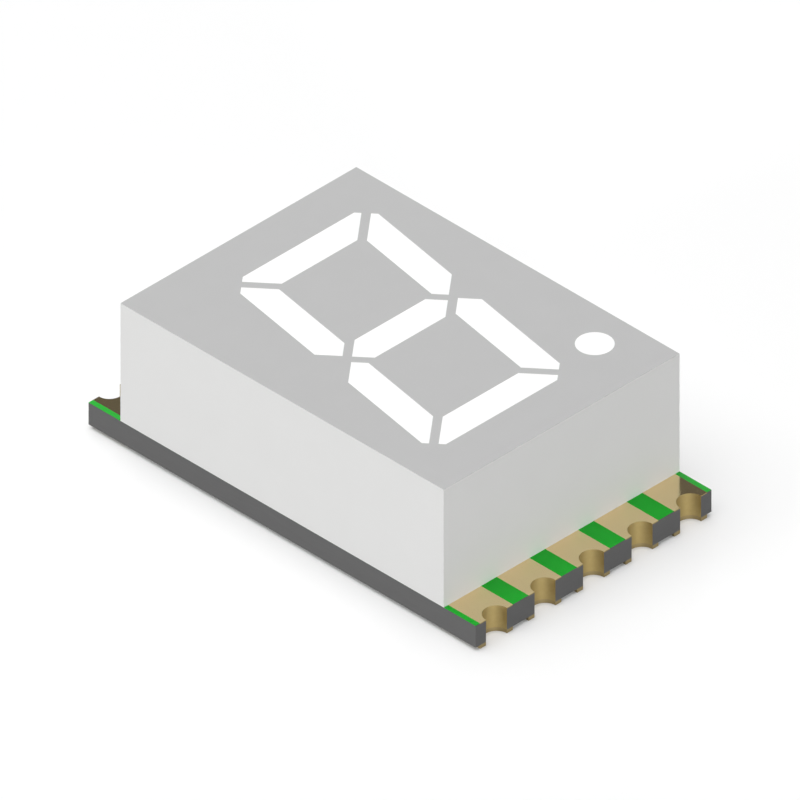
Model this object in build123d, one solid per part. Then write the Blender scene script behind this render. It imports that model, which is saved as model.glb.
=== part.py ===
from build123d import *
import os
from math import cos, radians, sin, tan

# A surface-mount display of one numeral: seven slanted bars and a decimal point that light up.
# Sizes are in millimetres and angles in degrees. X runs across the numeral, Y up the numeral and
# Z out of its face. The origin is under the centre of the board, where the solder feet stand.

# Board
board_length = 15.95
board_width = 9.72
laminate_thickness = 0.75
coating_thickness = 0.03
mask_setback = 0.15

# Terminals along the two ends of the board
terminal_pitch = 2.00
terminals_per_end = 5
terminal_width = 1.35
terminal_cover = 0.285
terminal_length_bottom = 1.60
foot_thickness = 0.13
notch_radius = 0.43
plating_thickness = 0.03

# Housing
housing_length = 13.32
housing_height = 4.20
face_coat_thickness = 0.03
side_wall = 0.80
face_plate = 0.75
well_wall = 0.30
rib_thickness = 0.45
rib_gap = 0.60

# Numeral
digit_height = 10.16
digit_width = 5.69
digit_slant = 10.0
segment_width = 1.05
segment_gap = 0.28
corner_chamfer = 0.55
mitre_shift = 0.04
waist_inset = 0.655
point_offset = 3.47
point_radius = 0.583

# Light wells at the board
well_floor_length = 1.80
well_floor_width = 0.80
point_floor_radius = 0.50

# Lamp chips, their pads and their wires
die_size = 0.28
die_height = 0.15
die_taper = 8.0
contact_size = 0.11
contact_height = 0.01
die_offset = 0.30
attach_size = 0.34
attach_thickness = 0.02
die_pad_size = 0.50
bond_offset = 0.40
bond_pad_size = 0.36
track_width = 0.25
track_thickness = 0.02
wire_diameter = 0.03
ball_diameter = 0.08
ball_height = 0.02
wire_loop_height = 0.16
wire_sides = 8

# Levels that follow from the sizes above
z_laminate = foot_thickness
z_copper = z_laminate + laminate_thickness
z_board = z_copper + coating_thickness
z_coat = z_board + housing_height - face_coat_thickness
z_face = z_board + housing_height
z_track = z_copper + track_thickness
z_attach = z_track + attach_thickness
z_die = z_attach + die_height
z_contact = z_die + contact_height
end_y = board_length / 2
terminal_length_top = (board_length - housing_length) / 2 + terminal_cover
terminal_numbers = range(1, 2 * terminals_per_end + 1)
mitre_angle = (90 - digit_slant) / 2
bar_y = (digit_height - segment_width) / 2
upright_y = bar_y / 2
upright_x = (digit_width - segment_width / cos(radians(digit_slant))) / 2
segment_names = ["a", "b", "c", "d", "e", "f", "g"]
lamp_names = segment_names + ["dp"]
standing = (Align.CENTER, Align.CENTER, Align.MIN)
hanging = (Align.CENTER, Align.CENTER, Align.MAX)


def lean(y):
    """How far the slant carries a point at height y sideways."""
    return y * tan(radians(digit_slant))


# Each lamp's place, with the direction from its chip to the pad of its wire
lamp_sites = {
    "a": (lean(bar_y), bar_y, 0),
    "b": (upright_x + lean(upright_y), upright_y, 90 - digit_slant),
    "c": (upright_x - lean(upright_y), -upright_y, 270 - digit_slant),
    "d": (-lean(bar_y), -bar_y, 180),
    "e": (-upright_x - lean(upright_y), -upright_y, 270 - digit_slant),
    "f": (-upright_x + lean(upright_y), upright_y, 90 - digit_slant),
    "g": (0, 0, 180),
    "dp": (point_offset, -bar_y, 270),
}


def lamp_spot(name, offset):
    """A point on the line through a lamp's chip and its wire pad."""
    x, y, angle = lamp_sites[name]
    return (x + offset * cos(radians(angle)), y + offset * sin(radians(angle)))


def lamp_place(name, offset, z):
    """The location of such a point at a height, turned with the lamp."""
    x, y = lamp_spot(name, offset)
    return Pos(x, y, z) * Rot(0, 0, lamp_sites[name][2])


def terminal_spot(number):
    """Where a terminal's middle meets the end of the board, and which end that is."""
    across = (terminals_per_end - 1) / 2
    if number <= terminals_per_end:
        return ((number - 1 - across) * terminal_pitch, -end_y, -1)
    return ((across - (number - terminals_per_end - 1)) * terminal_pitch, end_y, 1)


def strip(x, y, angle, length):
    """A gap's outline, from a point outwards."""
    return Pos(x, y) * Rot(0, 0, angle) * Pos(length / 2, 0) * Rectangle(length, segment_gap)


def slanted_frame(half_width, bottom, top):
    """A slanted four-sided outline between two heights."""
    corners = [
        (-half_width + lean(bottom), bottom),
        (half_width + lean(bottom), bottom),
        (half_width + lean(top), top),
        (-half_width + lean(top), top),
    ]
    return Polygon(*corners, align=None)


def digit_faces():
    """The seven bars as flat faces: a chamfered figure of eight cut apart by narrow gaps."""
    top = digit_height / 2
    outline = slanted_frame(digit_width / 2, -top, top)
    outline = chamfer(outline.vertices(), corner_chamfer)
    window_half_width = upright_x - segment_width / cos(radians(digit_slant)) / 2
    for side in (-1, 1):
        near = side * segment_width / 2
        far = side * (top - segment_width)
        outline -= slanted_frame(window_half_width, min(near, far), max(near, far))

    # Mitres at the four corners, along the bisectors of the corners
    reach = 2 * segment_width
    for side in (-1, 1):
        sharp_x = side * (digit_width / 2 + lean(top))
        blunt_x = -side * (digit_width / 2 - lean(top) - mitre_shift)
        outline -= strip(sharp_x, side * top, mitre_angle + 90 + 90 * side, reach)
        outline -= strip(blunt_x, side * top, mitre_angle - 90 * side, reach)

    # Crossed gaps at the waist, with the notch outside them cut away
    for side in (-1, 1):
        x = side * (digit_width / 2 - waist_inset)
        arms = [mitre_angle + 90 * k for k in range(4)]
        outer_arms = (arms[1], arms[2]) if side < 0 else (arms[3], arms[0])
        if side > 0:
            arms = arms[:3]
        for arm in arms:
            outline -= strip(x, 0, arm, reach)
        notch = [(x, 0)]
        for arm in outer_arms:
            notch.append((x + reach * cos(radians(arm)), reach * sin(radians(arm))))
        outline -= Polygon(*notch, align=None)
    return outline.faces()


def name_faces(faces):
    """Each bar's face by its letter, found by the lamp that it lies over."""
    named = {}
    for name in segment_names:
        x, y, _ = lamp_sites[name]
        named[name] = min(faces, key=lambda face: (face.center() - Vector(x, y)).length)
    return named


def hopper(low_end, high_end, width, floor_length, floor_width):
    """A four-sided taper from a floor on the board up to the face, along X."""
    height = z_face - z_board
    side = [
        (-floor_length / 2, 0),
        (floor_length / 2, 0),
        (high_end, height),
        (low_end, height),
    ]
    end = [
        (-floor_width / 2, 0),
        (floor_width / 2, 0),
        (width / 2, height),
        (-width / 2, height),
    ]
    along = extrude(Plane.XZ * Polygon(*side, align=None), width, both=True)
    across = extrude(Plane.YZ * Polygon(*end, align=None), high_end - low_end, both=True)
    return along & across


def bar_along_x(name):
    """A bar's face, moved so that its lamp is at the origin and the bar lies along X."""
    return lamp_place(name, 0, 0).inverse() * bars[name]


def make_well(name):
    """The space of a light well: the bar's outline, tapering down to a small floor."""
    place = lamp_place(name, 0, z_board)
    height = z_face - z_board
    if name == "dp":
        return place * Cone(point_floor_radius, point_radius, height, align=standing)
    bar = bar_along_x(name)
    box = bar.bounding_box()
    space = hopper(box.min.X, box.max.X, segment_width, well_floor_length, well_floor_width)
    return place * (extrude(bar, height) & space)


def make_funnel(name):
    """The outside of the wall that stands round a light well."""
    place = lamp_place(name, 0, z_board)
    height = z_face - z_board
    if name == "dp":
        floor_radius = point_floor_radius + well_wall
        return place * Cone(floor_radius, point_radius + well_wall, height, align=standing)
    box = bar_along_x(name).bounding_box()
    low_end = box.min.X - well_wall
    high_end = box.max.X + well_wall
    width = segment_width + 2 * well_wall
    floor_length = well_floor_length + 2 * well_wall
    floor_width = well_floor_width + 2 * well_wall
    return place * hopper(low_end, high_end, width, floor_length, floor_width)


def make_opening(name):
    """The opening in the solder mask under a light well, as a flat outline on the copper."""
    if name == "dp":
        return lamp_place(name, 0, z_copper) * Circle(point_floor_radius)
    return lamp_place(name, 0, z_copper) * Rectangle(well_floor_length, well_floor_width)


def make_board():
    """The laminate, with a half-round notch at each terminal."""
    size = (board_width, board_length, laminate_thickness)
    board = Pos(0, 0, z_laminate) * Box(*size, align=standing)
    for number in terminal_numbers:
        x, y, _ = terminal_spot(number)
        board -= Pos(x, y, z_laminate + laminate_thickness / 2) * Cylinder(
            notch_radius + plating_thickness, 2 * laminate_thickness
        )
    return board


def pad_area(number, length):
    """The rectangle that a terminal's pad takes up at the end of the board."""
    x, y, side = terminal_spot(number)
    return Pos(x, y - side * length / 2) * Rectangle(terminal_width, length)


def pad_outline(number, length):
    """A terminal's flat pad, with its half-round notch."""
    x, y, _ = terminal_spot(number)
    return pad_area(number, length) - Pos(x, y) * Circle(notch_radius)


def make_terminal(number):
    """A castellated terminal: a pad on top, a plated half hole and a thick solder foot."""
    x, y, side = terminal_spot(number)
    top = Pos(0, 0, z_copper) * pad_outline(number, terminal_length_top)
    foot = pad_outline(number, terminal_length_bottom)
    ring = Circle(notch_radius + plating_thickness) - Circle(notch_radius)
    inner_half = Pos(0, -side * board_width / 2) * Rectangle(board_width, board_width)
    wall = Pos(x, y, z_laminate) * (ring & inner_half)
    solid = extrude(foot, foot_thickness)
    solid += extrude(wall, laminate_thickness)
    solid += extrude(top, coating_thickness)
    return solid


def leg(start, end):
    """One straight length of copper track with round ends."""
    run = Vector(*end) - Vector(*start)
    middle = (Vector(*end) + Vector(*start)) / 2
    angle = Vector(1, 0).get_signed_angle(run, Vector(0, 0, 1))
    return Pos(middle.X, middle.Y) * Rot(0, 0, angle) * SlotCenterToCenter(run.length, track_width)


def copper(outline):
    """Copper of track thickness on the laminate, up to the edges of the terminals."""
    for number in terminal_numbers:
        outline -= pad_area(number, terminal_length_top)
    return extrude(Pos(0, 0, z_copper) * outline, track_thickness)


def track_end(number):
    """The point where a track runs into its terminal's pad."""
    x, y, side = terminal_spot(number)
    return (x, y - side * terminal_length_top)


def make_common_track():
    """The copper that joins every chip pad to the middle terminal of each end."""
    middle = (terminals_per_end + 1) // 2
    chips = {name: lamp_spot(name, -die_offset) for name in lamp_names}
    spine_x = chips["g"][0]
    upper = (spine_x, chips["f"][1])
    lower = (spine_x, chips["e"][1])
    corner = (chips["dp"][0], chips["c"][1])
    legs = [
        (track_end(middle + terminals_per_end), chips["a"]),
        (chips["a"], upper),
        (upper, chips["f"]),
        (upper, chips["b"]),
        (upper, lower),
        (lower, chips["e"]),
        (lower, chips["d"]),
        (lower, corner),
        (corner, chips["dp"]),
        (lower, track_end(middle)),
    ]
    outline = leg(*legs[0])
    for start, end in legs[1:]:
        outline += leg(start, end)
    for name in lamp_names:
        pad = Rectangle(die_pad_size, die_pad_size)
        outline += lamp_place(name, -die_offset, 0) * pad
    return copper(outline)


def make_track(name):
    """The copper from one terminal to the pad of one lamp's wire."""
    last = terminals_per_end
    terminal_of = {
        "e": 1,
        "d": 2,
        "c": last - 1,
        "dp": last,
        "b": last + 1,
        "a": last + 2,
        "f": 2 * last - 1,
        "g": 2 * last,
    }
    start = track_end(terminal_of[name])
    end = lamp_spot(name, bond_offset)
    outline = lamp_place(name, bond_offset, 0) * Rectangle(bond_pad_size, bond_pad_size)
    if name == "g":
        corner = (start[0], end[1])
        outline += leg(start, corner)
        start = corner
    outline += leg(start, end)
    return copper(outline)


def make_mask_top(tracks, openings):
    """The green solder mask on the board's face, lying over the tracks."""
    sheet = Rectangle(board_width, board_length)
    for number in terminal_numbers:
        sheet -= pad_area(number, terminal_length_top)
    mask = extrude(Pos(0, 0, z_copper) * sheet, coating_thickness)
    for opening in openings:
        mask -= extrude(opening, coating_thickness)
    for track in tracks:
        mask -= track
    return mask


def make_mask_bottom():
    """The solder mask under the board, held back from its outline and clear of the feet."""
    width = board_width - 2 * mask_setback
    length = board_length - 2 * mask_setback
    sheet = Rectangle(width, length)
    for number in terminal_numbers:
        sheet -= pad_area(number, terminal_length_bottom)
    return extrude(Pos(0, 0, z_laminate - coating_thickness) * sheet, coating_thickness)


def make_housing(wells, funnels):
    """The moulded reflector: thin walls, a face plate, funnels round the wells, and ribs."""
    height = housing_height - face_coat_thickness
    block = Pos(0, 0, z_board) * Box(board_width, housing_length, height, align=standing)
    core_width = board_width - 2 * side_wall
    core_length = housing_length - 2 * side_wall
    core_height = height - face_plate
    core = Pos(0, 0, z_board) * Box(core_width, core_length, core_height, align=standing)

    rib_height = core_height - rib_gap
    z_rib = z_board + rib_gap
    ribs = []
    for y in (-bar_y, 0, bar_y):
        ribs.append(Pos(0, y, z_rib) * Box(core_width, rib_thickness, rib_height, align=standing))
    for side in (-1, 1):
        turn = Rot(0, 0, -digit_slant)
        rib = Box(rib_thickness, 2 * core_length, rib_height, align=standing)
        ribs.append(Pos(side * upright_x, 0, z_rib) * turn * rib)

    housing = block - core
    for rib in ribs:
        housing += rib & core
    for funnel in funnels:
        housing += funnel & block
    for well in wells:
        housing -= well
    return housing


def make_face_coat(wells):
    """The grey coat printed on the face, open over the bars and the point."""
    sheet = Pos(0, 0, z_coat) * Rectangle(board_width, housing_length)
    coat = extrude(sheet, face_coat_thickness)
    for well in wells:
        coat -= well
    return coat


def make_die(name):
    """A lamp chip with tapered sides and a square contact on top."""
    die = extrude(Rectangle(die_size, die_size), die_height, taper=die_taper)
    contact = extrude(Rectangle(contact_size, contact_size), contact_height)
    return lamp_place(name, -die_offset, z_attach) * (die + Pos(0, 0, die_height) * contact)


def make_attach(name):
    """The conductive glue under a lamp chip."""
    spot = extrude(Rectangle(attach_size, attach_size), attach_thickness)
    return lamp_place(name, -die_offset, z_track) * spot


def make_wire(name):
    """A bond wire: a ball on the chip's contact, a kink above it, and a straight run to its pad."""
    span = die_offset + bond_offset
    drop = z_contact - z_track
    rise = ball_height + wire_loop_height
    section = RegularPolygon(wire_diameter / 2, wire_sides)
    route = Polyline((0, 0, ball_height / 2), (0, 0, rise), (span, 0, -drop))
    wire = sweep(Pos(0, 0, ball_height / 2) * section, path=route, transition=Transition.RIGHT)
    wire += extrude(RegularPolygon(ball_diameter / 2, wire_sides), ball_height)
    pad_side = Pos(span, 0, -drop) * Box(span, span, drop, align=hanging)
    return lamp_place(name, -die_offset, z_contact) * (wire - pad_side)


def make_resin(well, opening, fittings):
    """The milky resin cast in a well, round the chip and its wire."""
    resin = well + extrude(opening, coating_thickness)
    for fitting in fittings:
        resin -= fitting
    return resin


def write(node, shape):
    """One file for each piece."""
    export_step(shape, f"parts/{node}.step")


os.makedirs("parts", exist_ok=True)

bars = name_faces(digit_faces())
wells = {name: make_well(name) for name in lamp_names}
funnels = {name: make_funnel(name) for name in lamp_names}
openings = {name: make_opening(name) for name in lamp_names}

common_track = make_common_track()
tracks = {name: make_track(name) for name in lamp_names}
dies = {name: make_die(name) for name in lamp_names}
attaches = {name: make_attach(name) for name in lamp_names}
wires = {name: make_wire(name) for name in lamp_names}

write("board", make_board())
write("solder_mask_top", make_mask_top([common_track, *tracks.values()], openings.values()))
write("solder_mask_bottom", make_mask_bottom())
write("common_track", common_track)
write("die_attach", Compound(children=list(attaches.values())))
write("reflector_housing", make_housing(wells.values(), funnels.values()))
write("face_coat", make_face_coat(wells.values()))
for number in terminal_numbers:
    write(f"terminal_{number}", make_terminal(number))
for name in lamp_names:
    fittings = [common_track, tracks[name], attaches[name], dies[name], wires[name]]
    resin_node = "decimal_point" if name == "dp" else f"segment_{name}"
    write(resin_node, make_resin(wells[name], openings[name], fittings))
    write(f"track_{name}", tracks[name])
    write(f"led_die_{name}", dies[name])
    write(f"bond_wire_{name}", wires[name])
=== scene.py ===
from math import pi, radians, sin

import bpy
from mathutils import Matrix, Vector


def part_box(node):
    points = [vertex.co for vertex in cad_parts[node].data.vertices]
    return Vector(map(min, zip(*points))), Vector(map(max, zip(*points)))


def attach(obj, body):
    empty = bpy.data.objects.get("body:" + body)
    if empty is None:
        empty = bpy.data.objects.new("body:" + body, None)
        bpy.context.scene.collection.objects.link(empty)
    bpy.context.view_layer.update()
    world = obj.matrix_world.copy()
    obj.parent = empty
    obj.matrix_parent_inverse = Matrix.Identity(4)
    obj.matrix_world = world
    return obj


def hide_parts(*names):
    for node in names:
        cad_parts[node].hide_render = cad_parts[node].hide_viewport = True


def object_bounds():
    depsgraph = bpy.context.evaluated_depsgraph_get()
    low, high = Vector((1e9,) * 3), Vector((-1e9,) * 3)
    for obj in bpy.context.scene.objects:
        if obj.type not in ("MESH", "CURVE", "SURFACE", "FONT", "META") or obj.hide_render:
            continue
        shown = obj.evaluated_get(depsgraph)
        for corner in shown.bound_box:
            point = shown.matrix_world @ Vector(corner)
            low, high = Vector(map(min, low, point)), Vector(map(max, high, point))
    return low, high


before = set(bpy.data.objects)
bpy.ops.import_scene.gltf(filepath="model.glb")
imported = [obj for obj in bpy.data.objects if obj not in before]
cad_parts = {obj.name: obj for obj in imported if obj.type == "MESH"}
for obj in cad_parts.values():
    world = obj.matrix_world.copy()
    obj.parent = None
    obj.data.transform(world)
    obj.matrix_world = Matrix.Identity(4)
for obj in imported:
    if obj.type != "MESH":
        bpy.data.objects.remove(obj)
cad_low, cad_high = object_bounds()
scene = bpy.context.scene

# Circuit board
# A dark epoxy glass laminate, pressed from plies of glass cloth and milled to its outline. The
# cut edges are matt, with faint streaks along the plies.
mm = 0.001


def linear(hex_colour):
    """An sRGB hex colour as the linear colour that a shader takes."""
    channels = [int(hex_colour[i : i + 2], 16) / 255 for i in (1, 3, 5)]
    low = [c / 12.92 for c in channels]
    high = [((c + 0.055) / 1.055) ** 2.4 for c in channels]
    return (*(l if c <= 0.04045 else h for c, l, h in zip(channels, low, high)), 1)


def add_node(tree, kind, sockets=None, **settings):
    """Adds a node with its settings. A socket takes a constant, an output or a list of outputs."""
    node = tree.nodes.new(kind)
    for name, value in settings.items():
        setattr(node, name, value)
    for socket, value in (sockets or {}).items():
        if isinstance(value, bpy.types.NodeSocket):
            value = [value]
        if isinstance(value, list):
            for output in value:
                tree.links.new(output, node.inputs[socket])
        else:
            node.inputs[socket].default_value = value
    return node


def new_finish(name, roughness, **constants):
    """A material, its node tree and its shader, with the shader's constants set."""
    material = bpy.data.materials.new(name)
    material.use_nodes = True
    shader = material.node_tree.nodes["Principled BSDF"]
    shader.inputs["Roughness"].default_value = roughness
    for socket, value in constants.items():
        shader.inputs[socket.replace("_", " ")].default_value = value
    return material, material.node_tree, shader


def grain(tree, size, stretch=(1, 1, 1)):
    """A noise whose spots are this many millimetres across, times the stretch of each axis."""
    place = add_node(tree, "ShaderNodeTexCoord").outputs["Object"]
    scale = tuple(1 / (size * s * mm) for s in stretch)
    spots = add_node(tree, "ShaderNodeMapping", {"Vector": place, "Scale": scale})
    sockets = {"Vector": spots.outputs["Vector"], "Scale": 1, "Detail": 2}
    return add_node(tree, "ShaderNodeTexNoise", sockets).outputs["Fac"]


def two_tone(tree, shader, factor, first, second):
    """Colours the shader between two, each a hex value or the output of a node."""
    pair = [linear(colour) if isinstance(colour, str) else colour for colour in (first, second)]
    # Sockets 6 and 7 of the mix take its two colours, and its output 2 gives the mixed one
    sockets = {"Factor": factor, 6: pair[0], 7: pair[1]}
    mixed = add_node(tree, "ShaderNodeMix", sockets, data_type="RGBA").outputs[2]
    tree.links.new(mixed, shader.inputs["Base Color"])
    return mixed


def relief(tree, shader, height, depth):
    """Bumps of this depth in millimetres."""
    sockets = {"Height": height, "Distance": depth * mm, "Strength": 1}
    bump = add_node(tree, "ShaderNodeBump", sockets)
    tree.links.new(bump.outputs["Normal"], shader.inputs["Normal"])


def dress(material, *nodes):
    """Gives CAD nodes a material."""
    for node in nodes:
        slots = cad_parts[node].data.materials
        slots.clear()
        slots.append(material)


laminate, tree, shader = new_finish("milled_dark_epoxy_glass", 0.62, Specular_IOR_Level=0.3)
plies = grain(tree, 0.04, stretch=(18, 18, 1))
two_tone(tree, shader, plies, "#606060", "#666666")
relief(tree, shader, plies, 0.002)
dress(laminate, "board")

# Copper tracks
# Etched copper foil, bonded to the laminate under the solder mask. It is open only in the light
# wells, as a bright salmon pad under each chip and each wire.
copper, tree, shader = new_finish("etched_copper", 0.28, Metallic=1)
two_tone(tree, shader, grain(tree, 0.12), "#C98A6A", "#DDA183")
lamp_names = ["a", "b", "c", "d", "e", "f", "g", "dp"]
dress(copper, "common_track", *(f"track_{name}" for name in lamp_names))

# Solder mask
# Green photo-imaged lacquer, cured over the copper on both sides of the board. It has a soft
# sheen and the faint orange peel of a flowed coating, and its milled edge is as dark as the board.
level_from = 0.5


def level_faces(tree):
    """1 on faces that lie flat, by how steeply their normal stands, and 0 on upright ones."""
    normal = add_node(tree, "ShaderNodeNewGeometry").outputs["Normal"]
    upright = add_node(tree, "ShaderNodeSeparateXYZ", {0: normal}).outputs["Z"]
    levelness = add_node(tree, "ShaderNodeMath", {0: upright}, operation="ABSOLUTE").outputs[0]
    sockets = {0: levelness, 1: level_from}
    return add_node(tree, "ShaderNodeMath", sockets, operation="GREATER_THAN").outputs[0]


solder_mask, tree, shader = new_finish("cured_green_solder_mask", 0.5, Specular_IOR_Level=0.15)
flow = grain(tree, 0.45)
green = two_tone(tree, shader, flow, "#15A427", "#1BAE2D")
two_tone(tree, shader, level_faces(tree), "#606460", green)
relief(tree, shader, flow, 0.001)
dress(solder_mask, "solder_mask_top", "solder_mask_bottom")

# Terminals
# Copper plated through round holes, cut in half with the board's edge, and finished in gold over
# nickel. Each has a pad on top and a thick solder foot below, and all ten are alike.
pad_low, pad_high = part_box("terminal_1")
next_low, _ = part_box("terminal_2")
board_low, board_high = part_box("board")
terminal_sizes = {
    "Pitch": (next_low.x - pad_low.x) / mm,
    "Board Length": (board_high.y - board_low.y) / mm,
    "Pad Width": (pad_high.x - pad_low.x) / mm,
    "Pad Length": (pad_high.y - pad_low.y) / mm,
    "Foot Thickness": board_low.z / mm,
    "Total Height": pad_high.z / mm,
    "Pad Thickness": (pad_high.z - board_high.z) / mm,
    "Notch Radius": 0.43,
    "Plating Thickness": 0.03,
}
terminals_per_end = 5
round_sides = 96
sharp_from = radians(15)

# The drill and the offcut are this many times the terminal's height and width, to cut clear of it
drill_reach = 3
offcut_reach = 2

# A face is on the board's milled end if it is this share of the way there from the middle
milled_end_from = 0.9999

# The pads are bright. The hole's wall is rough from the drill, and the gold of the upright faces is
# painted deeper and browner as shade in the notch. The foot's edge, low by the floor, is painted
# darker still as shade, and the milling cutter has left the sleeve's section as dull as the board
# beside it.
gold_plating, tree, shader = new_finish("gold_over_nickel_plating", 0.14, Metallic=1)
two_tone(tree, shader, grain(tree, 0.5), "#EFD8A5", "#F2DCAD")
relief(tree, shader, grain(tree, 0.15), 0.0004)
# Upright faces: rough gold whose colour is darkened as painted shade in the notch
painted_shade_gold, tree, shader = new_finish("gold_with_painted_shade_on_hole_wall", 0.62, Metallic=1)
painted_shade_wall_gold = two_tone(tree, shader, grain(tree, 0.12), "#A69463", "#B09E6D")
# Upright faces below the top of the foot get a darker gold: painted shade by the floor
place = add_node(tree, "ShaderNodeTexCoord").outputs["Object"]
height = add_node(tree, "ShaderNodeSeparateXYZ", {0: place}).outputs["Z"]
sockets = {0: height, 1: board_low.z}
painted_foot_shade = add_node(tree, "ShaderNodeMath", sockets, operation="LESS_THAN").outputs[0]
two_tone(tree, shader, painted_foot_shade, painted_shade_wall_gold, "#9C8D68")

tree = bpy.data.node_groups.new("plated_terminals", "GeometryNodeTree")
tree.interface.new_socket("Geometry", in_out="OUTPUT", socket_type="NodeSocketGeometry")
finishes = {"Finish": gold_plating, "Painted Shade Edge Finish": painted_shade_gold, "Section Finish": laminate}
tree_inputs = {
    "NodeSocketFloat": terminal_sizes,
    "NodeSocketInt": {"Per End": terminals_per_end},
    "NodeSocketMaterial": finishes,
}
socket_ids = {}
for kind, inputs in tree_inputs.items():
    for name in inputs:
        socket = tree.interface.new_socket(name, in_out="INPUT", socket_type=kind)
        socket_ids[name] = socket.identifier
given = {output.name: output for output in add_node(tree, "NodeGroupInput").outputs}
normal = add_node(tree, "GeometryNodeInputNormal").outputs["Normal"]
given["Normal Z"] = add_node(tree, "ShaderNodeSeparateXYZ", {0: normal}).outputs["Z"]
position = add_node(tree, "GeometryNodeInputPosition").outputs["Position"]
face_middle = add_node(tree, "ShaderNodeSeparateXYZ", {0: position}).outputs
given["Face Y"] = face_middle["Y"]
given["Face Z"] = face_middle["Z"]

# Each step works out a value from two: sizes, earlier steps, numbers, or where a face lies
steps = {
    "Pad Bottom": ("Total Height", "SUBTRACT", "Pad Thickness"),
    "Sleeve Radius": ("Notch Radius", "ADD", "Plating Thickness"),
    "Sleeve Height": ("Pad Bottom", "SUBTRACT", "Foot Thickness"),
    "Sleeve Ends": ("Pad Bottom", "ADD", "Foot Thickness"),
    "Sleeve Middle": ("Sleeve Ends", "DIVIDE", 2),
    "Drill Height": ("Total Height", "MULTIPLY", drill_reach),
    "Drill Middle": ("Total Height", "DIVIDE", 2),
    "Offcut Width": ("Pad Width", "MULTIPLY", offcut_reach),
    "Gaps": ("Per End", "SUBTRACT", 1),
    "Row Length": ("Gaps", "MULTIPLY", "Pitch"),
    "Row Start": ("Row Length", "MULTIPLY", -0.5),
    "Row Edge": ("Board Length", "MULTIPLY", -0.5),
    "Levelness": ("Normal Z", "ABSOLUTE", 0),
    "On Edge": ("Levelness", "LESS_THAN", level_from),
    "End Plane": ("Board Length", "MULTIPLY", 0.5 * milled_end_from),
    "From Middle": ("Face Y", "ABSOLUTE", 0),
    "At End": ("From Middle", "GREATER_THAN", "End Plane"),
    "Over Foot": ("Face Z", "GREATER_THAN", "Foot Thickness"),
    "Under Pad": ("Face Z", "LESS_THAN", "Pad Bottom"),
    "Beside Laminate": ("Over Foot", "MULTIPLY", "Under Pad"),
    "On Section": ("At End", "MULTIPLY", "Beside Laminate"),
}
for name, (first, operation, second) in steps.items():
    sockets = {0: given[first], 1: given.get(second, second)}
    given[name] = add_node(tree, "ShaderNodeMath", sockets, operation=operation).outputs[0]


def block(width, length, thickness, bottom, inwards=1):
    """A rectangular solid from the board's edge inwards, or outwards."""
    sockets = {"X": width, "Y": length, "Z": thickness}
    size = add_node(tree, "ShaderNodeCombineXYZ", sockets).outputs[0]
    cube = add_node(tree, "GeometryNodeMeshCube", {"Size": size}).outputs["Mesh"]
    # The cube's middle goes half its length from the edge and half its thickness over the bottom
    base = add_node(tree, "ShaderNodeCombineXYZ", {"Z": bottom}).outputs[0]
    sockets = {0: size, 1: (0, inwards / 2, 1 / 2), 2: base}
    shift = add_node(tree, "ShaderNodeVectorMath", sockets, operation="MULTIPLY_ADD").outputs[0]
    sockets = {"Geometry": cube, "Translation": shift}
    return add_node(tree, "GeometryNodeTransform", sockets).outputs[0]


def drum(radius, height, middle):
    """A round solid on the board's edge."""
    sockets = {"Vertices": round_sides, "Radius": radius, "Depth": height}
    cylinder = add_node(tree, "GeometryNodeMeshCylinder", sockets).outputs["Mesh"]
    shift = add_node(tree, "ShaderNodeCombineXYZ", {"Z": middle}).outputs[0]
    sockets = {"Geometry": cylinder, "Translation": shift}
    return add_node(tree, "GeometryNodeTransform", sockets).outputs[0]


# Foot, pad and sleeve become one, then the hole and all that lies past the board's end go
width, length = given["Pad Width"], given["Pad Length"]
foot = block(width, length, given["Foot Thickness"], 0)
pad = block(width, length, given["Pad Thickness"], given["Pad Bottom"])
sleeve = drum(given["Sleeve Radius"], given["Sleeve Height"], given["Sleeve Middle"])
hole = drum(given["Notch Radius"], given["Drill Height"], given["Drill Middle"])
offcut = block(given["Offcut Width"], width, given["Total Height"], 0, inwards=-1)
sockets = {"Mesh 2": [foot, pad, sleeve]}
joined = add_node(tree, "GeometryNodeMeshBoolean", sockets, operation="UNION", solver="EXACT")
sockets = {"Mesh 1": joined.outputs["Mesh"], "Mesh 2": [hole, offcut]}
cut = add_node(tree, "GeometryNodeMeshBoolean", sockets, operation="DIFFERENCE", solver="EXACT")

sockets = {"X": given["Row Start"], "Y": given["Row Edge"]}
row_start = add_node(tree, "ShaderNodeCombineXYZ", sockets).outputs[0]
row_step = add_node(tree, "ShaderNodeCombineXYZ", {"X": given["Pitch"]}).outputs[0]
sockets = {"Count": given["Per End"], "Start Location": row_start, "Offset": row_step}
places = add_node(tree, "GeometryNodeMeshLine", sockets).outputs["Mesh"]
sockets = {"Points": places, "Instance": cut.outputs["Mesh"]}
near_row = add_node(tree, "GeometryNodeInstanceOnPoints", sockets).outputs["Instances"]
sockets = {"Geometry": near_row, "Rotation": (0, 0, pi)}
far_row = add_node(tree, "GeometryNodeTransform", sockets).outputs[0]
rows = add_node(tree, "GeometryNodeJoinGeometry", {0: [near_row, far_row]}).outputs[0]
plated = add_node(tree, "GeometryNodeRealizeInstances", {0: rows}).outputs[0]
selections = {
    "Finish": True,
    "Painted Shade Edge Finish": given["On Edge"],
    "Section Finish": given["On Section"],
}
for name, selection in selections.items():
    sockets = {"Geometry": plated, "Selection": selection, "Material": given[name]}
    plated = add_node(tree, "GeometryNodeSetMaterial", sockets).outputs[0]
add_node(tree, "NodeGroupOutput", {"Geometry": plated})

seed = bpy.data.objects.new("terminal_seed", bpy.data.meshes.new("terminal_seed"))
scene.collection.objects.link(seed)
shaping = seed.modifiers.new("terminals", "NODES")
shaping.node_group = tree
for inputs in tree_inputs.values():
    for name, value in inputs.items():
        shaping[socket_ids[name]] = value

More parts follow.
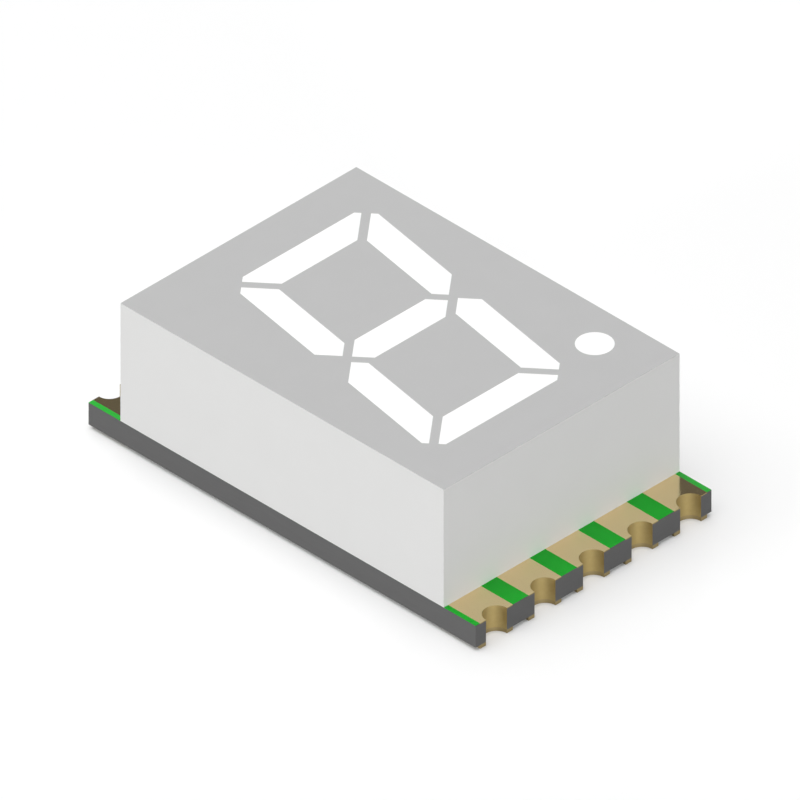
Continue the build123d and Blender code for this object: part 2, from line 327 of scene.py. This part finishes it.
# The sizes above are in millimetres, and the finished mesh is in metres
finished = seed.evaluated_get(bpy.context.evaluated_depsgraph_get())
terminal_mesh = bpy.data.meshes.new_from_object(finished)
terminal_mesh.transform(Matrix.Scale(mm, 4))
terminal_mesh.shade_smooth()
terminal_mesh.set_sharp_from_angle(angle=sharp_from)
bpy.data.objects.remove(seed)
terminals = bpy.data.objects.new("plated_terminals", terminal_mesh)
scene.collection.objects.link(terminals)
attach(terminals, "root")
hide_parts(*(f"terminal_{n}" for n in range(1, 2 * terminals_per_end + 1)))

# Lamp chips
# Each is a cube of grown crystal, sawn with tapered sides, glued to its copper with silver-filled
# epoxy and joined to its own track by a gold wire.

# The silver flakes give the glue a dull, mottled grey
silver_epoxy, tree, shader = new_finish("silver_filled_epoxy", 0.45, Metallic=1)
two_tone(tree, shader, grain(tree, 0.03), "#A9A8A4", "#C9C8C4")
dress(silver_epoxy, "die_attach")

# The crystal bends light far more than glass does, so its sawn sides shine
crystal, tree, shader = new_finish("sawn_lamp_crystal", 0.3, IOR=2.4)
two_tone(tree, shader, grain(tree, 0.05), "#8A2F22", "#A83A2A")
dress(crystal, *(f"led_die_{name}" for name in lamp_names))

# Drawing leaves the wire smooth, and its gold is deeper than the plating's
gold_wire, tree, shader = new_finish("drawn_gold_wire", 0.2, Metallic=1)
two_tone(tree, shader, grain(tree, 0.02), "#F2C766", "#F6D27E")
dress(gold_wire, *(f"bond_wire_{name}" for name in lamp_names))

# Reflector housing
# White filled nylon, moulded in one shot and glued to the board. Its walls are smooth and nearly
# matt, with the faint cloudiness of a filled resin.
white_nylon, tree, shader = new_finish("moulded_white_nylon", 0.5, Specular_IOR_Level=0.35)
two_tone(tree, shader, grain(tree, 1.6), "#EBEBEA", "#EEEEED")
relief(tree, shader, grain(tree, 0.12), 0.0006)
dress(white_nylon, "reflector_housing")

# Face coat
# Grey ink, screen printed on the housing's face and open over the bars and the point. It is dead
# flat, with the slight grain of its pigment, and its thin edge is lost in the white of the wall.
grey_ink, tree, shader = new_finish("screen_printed_grey_ink", 0.6, Specular_IOR_Level=0.25)
grey = two_tone(tree, shader, grain(tree, 0.9), "#B6B6B6", "#B9B9B9")
two_tone(tree, shader, level_faces(tree), "#ECECEB", grey)
relief(tree, shader, grain(tree, 0.1), 0.0008)
dress(grey_ink, "face_coat")

# Light bars and decimal point
# Milky epoxy, poured into the wells from the back and cured flush with the face. It is the
# whitest thing on the part, and even from edge to edge.
milky_resin, tree, shader = new_finish("cast_milky_epoxy", 0.35, Specular_IOR_Level=0.4)
two_tone(tree, shader, grain(tree, 0.7), "#FAFAF9", "#FCFCFC")
dress(milky_resin, *(f"segment_{name}" for name in lamp_names[:-1]), "decimal_point")

# Floor
# A matt white card that the display stands on. It isn't part of the display.
floor_size = 1.2
floor_mesh = bpy.data.meshes.new("floor")
half = floor_size / 2
corners = [(-half, -half, 0), (half, -half, 0), (half, half, 0), (-half, half, 0)]
floor_mesh.from_pydata(corners, [], [(0, 1, 2, 3)])
floor = bpy.data.objects.new("floor", floor_mesh)
scene.collection.objects.link(floor)


def seen_rays(tree):
    """1 for what the camera sees, directly or in metal and glass, and 0 for what lights a piece."""
    rays = add_node(tree, "ShaderNodeLightPath").outputs
    sockets = {0: rays["Is Camera Ray"], 1: rays["Is Glossy Ray"]}
    seen = add_node(tree, "ShaderNodeMath", sockets, operation="MAXIMUM").outputs[0]
    sockets = {0: seen, 1: rays["Is Transmission Ray"]}
    return add_node(tree, "ShaderNodeMath", sockets, operation="MAXIMUM").outputs[0]


# Near the display the card keeps its shadow, and far from it the card is as white as the backdrop.
# Its own light is this share of its look up to the first distance, and all of it from the second.
own_light = 0.38
near_distance = 0.04
far_distance = 0.16
card, tree, shader = new_finish("matt_white_card", 0.9, Specular_IOR_Level=0)
seen = seen_rays(tree)
two_tone(tree, shader, seen, "#7C7C7C", "#FAFAFA")
place = add_node(tree, "ShaderNodeTexCoord").outputs["Object"]
distance = add_node(tree, "ShaderNodeVectorMath", {0: place}, operation="LENGTH").outputs["Value"]
sockets = {
    "Value": distance,
    "From Min": near_distance,
    "From Max": far_distance,
    "To Min": own_light,
    "To Max": 1,
}
climb = add_node(tree, "ShaderNodeMapRange", sockets, interpolation_type="SMOOTHSTEP")
sockets = {0: climb.outputs["Result"], 1: seen}
share = add_node(tree, "ShaderNodeMath", sockets, operation="MULTIPLY")

# Under the display's edges, what is this near darkens the card's own light: a painted contact
# shadow
contact_reach = 0.16 * mm
contact_samples = 16
sockets = {"Distance": contact_reach}
painted_contact_shadow = add_node(tree, "ShaderNodeAmbientOcclusion", sockets, samples=contact_samples)
sockets = {"Color": painted_contact_shadow.outputs["Color"], "Strength": 1}
glow_with_painted_shadow = add_node(tree, "ShaderNodeEmission", sockets)
sockets = {0: share.outputs[0], 1: shader.outputs[0], 2: glow_with_painted_shadow.outputs[0]}
lit_card = add_node(tree, "ShaderNodeMixShader", sockets)
tree.links.new(lit_card.outputs[0], tree.nodes["Material Output"].inputs["Surface"])
floor_mesh.materials.append(card)

# Lamps
# Round softboxes, one overhead and three low ones around the display, in a dim studio whose
# horizon looks white and whose ceiling looks pale.
studio_grey = (0.12, 0.12, 0.12, 1)
studio_white = (1, 1, 1, 1)

# Heights above the horizon, as sines of the angle, because the world's coordinates give those
horizon_top = sin(radians(20))
ceiling_start = sin(radians(52))
ceiling_full = sin(radians(66))

# The ceiling's share of white
ceiling_white = 0.7
world = bpy.data.worlds.new("dim_studio")
world.use_nodes = True
tree = world.node_tree
towards = add_node(tree, "ShaderNodeTexCoord").outputs["Generated"]
rise = add_node(tree, "ShaderNodeSeparateXYZ", {0: towards}).outputs["Z"]
horizon = add_node(tree, "ShaderNodeMath", {0: rise, 1: horizon_top}, operation="LESS_THAN")
sockets = {
    "Value": rise,
    "From Min": ceiling_start,
    "From Max": ceiling_full,
    "To Min": 0,
    "To Max": ceiling_white,
}
ceiling = add_node(tree, "ShaderNodeMapRange", sockets, interpolation_type="SMOOTHSTEP")
sockets = {0: horizon.outputs[0], 1: ceiling.outputs["Result"]}
pale = add_node(tree, "ShaderNodeMath", sockets, operation="MAXIMUM").outputs[0]
sockets = {0: seen_rays(tree), 1: pale}
shown = add_node(tree, "ShaderNodeMath", sockets, operation="MULTIPLY").outputs[0]
sockets = {"Factor": shown, 6: studio_grey, 7: studio_white}
studio = add_node(tree, "ShaderNodeMix", sockets, data_type="RGBA").outputs[2]
tree.links.new(studio, tree.nodes["Background"].inputs["Color"])
scene.world = world

# Each has its direction, distance, radius and level, which is how light it makes a white surface
# that faces it, as a share of white
softboxes = {
    "overhead_softbox": ((-0.15, 0.2, 1.0), 0.30, 0.22, 0.875),
    "left_softbox": ((-1.0, 0.25, 0.11), 0.40, 0.04, 0.33),
    "front_softbox": ((-0.4, -1.0, 0.11), 0.40, 0.04, 0.455),
    "back_softbox": ((1.0, 0.9, 0.11), 0.40, 0.04, 0.32),
}
for name, (direction, distance, radius, level) in softboxes.items():
    lamp = bpy.data.objects.new(name, bpy.data.lights.new(name, "AREA"))
    lamp.data.shape = "DISK"
    lamp.data.size = 2 * radius
    # The power at which a disk of this radius gives that level at this distance
    lamp.data.energy = pi**2 * level * (radius**2 + distance**2)
    lamp.location = Vector(direction).normalized() * distance
    lamp.rotation_euler = Vector(direction).to_track_quat("Z", "Y").to_euler()
    scene.collection.objects.link(lamp)

# The gold would mirror the overhead softbox as a burnt-out patch, so it shows the ceiling instead
bpy.data.objects["overhead_softbox"].visible_glossy = False

# Camera
# A parallel view of the near corner from above, with the three axes equally foreshortened.
view_width = 0.02331
camera_distance = 0.1
towards_camera = Vector((-1, -1, 1)).normalized()
camera = bpy.data.objects.new("camera", bpy.data.cameras.new("camera"))
camera.data.type = "ORTHO"
camera.data.ortho_scale = view_width
camera.data.clip_start = 0.001
camera.data.clip_end = 2
camera.location = (cad_low + cad_high) / 2 + towards_camera * camera_distance
camera.rotation_euler = towards_camera.to_track_quat("Z", "Y").to_euler()
scene.collection.objects.link(camera)
scene.camera = camera
scene.view_settings.view_transform = "Standard"
